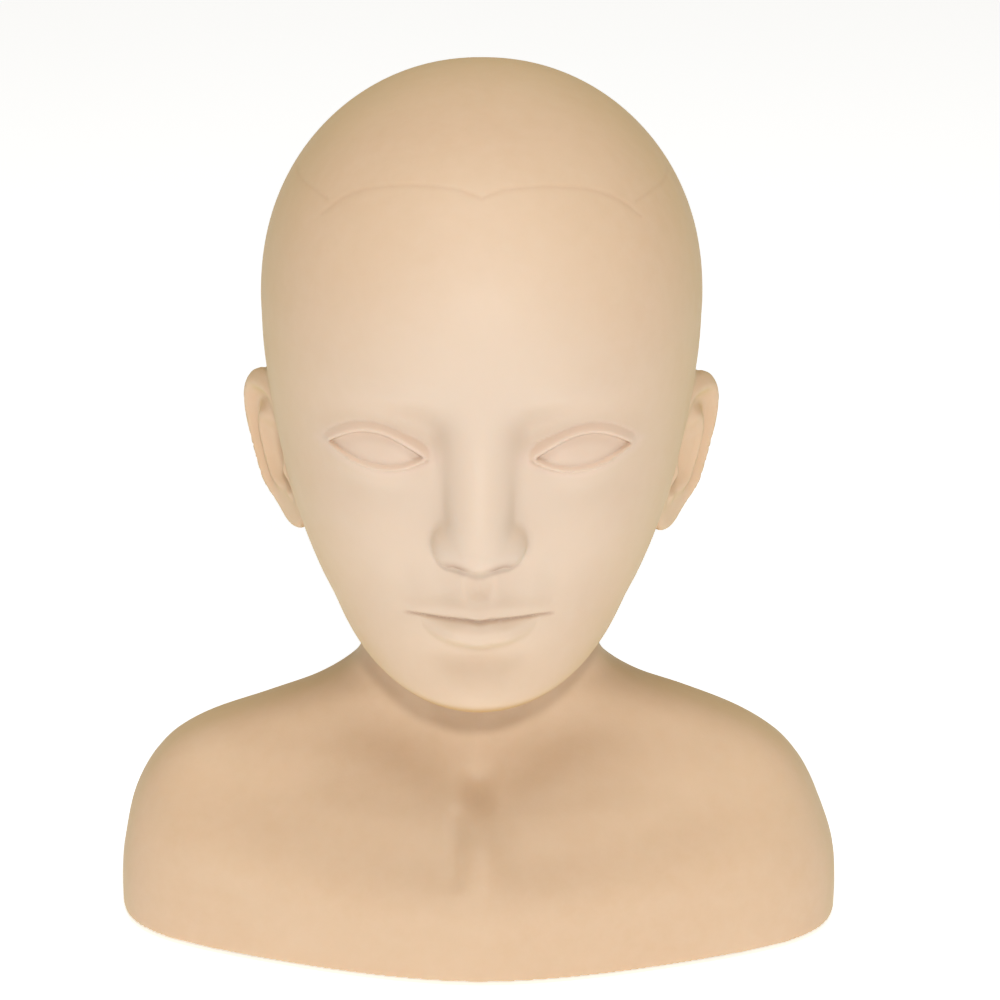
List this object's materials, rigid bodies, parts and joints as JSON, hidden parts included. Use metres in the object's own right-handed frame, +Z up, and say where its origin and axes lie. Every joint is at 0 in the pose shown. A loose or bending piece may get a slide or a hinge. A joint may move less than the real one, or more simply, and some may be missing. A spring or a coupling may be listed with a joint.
{
  "type": "mannequin training head",
  "caption": "Bald mannequin head and shoulders with a blank face, for hair and make-up practice, with a clamp socket in its base.",
  "frame": {"origin": "on the table under the middle of the bust's overall width and depth, at the bottom of the feet", "axes": "+Z up from the base to the crown, -Y the way the face looks, +X to the right of someone looking at the face"},
  "size_m": [0.2554, 0.1939, 0.308],
  "materials": {
    "skin_vinyl": "matte",
    "foam": "rigid polyurethane foam",
    "plywood": "unfinished plywood",
    "black_plastic": "moulded",
    "base_plastic": "moulded, fine texture",
    "screw_steel": "zinc plated",
    "foot_rubber": "matte"
  },
  "bodies": {
    "root": {"bust_skin": "skin_vinyl", "head_foam_core": "foam", "neck_dam_disc": "plywood", "clamp_socket": "black_plastic", "socket_cap": "black_plastic", "base_ring_left": "plywood", "base_ring_right": "plywood", "base_plate": "base_plastic", "base_screws": "screw_steel", "socket_screws": "screw_steel", "rubber_foot_front_left": "foot_rubber", "rubber_foot_front_right": "foot_rubber", "rubber_foot_rear_left": "foot_rubber", "rubber_foot_rear_right": "foot_rubber"}
  },
  "joints": []
}
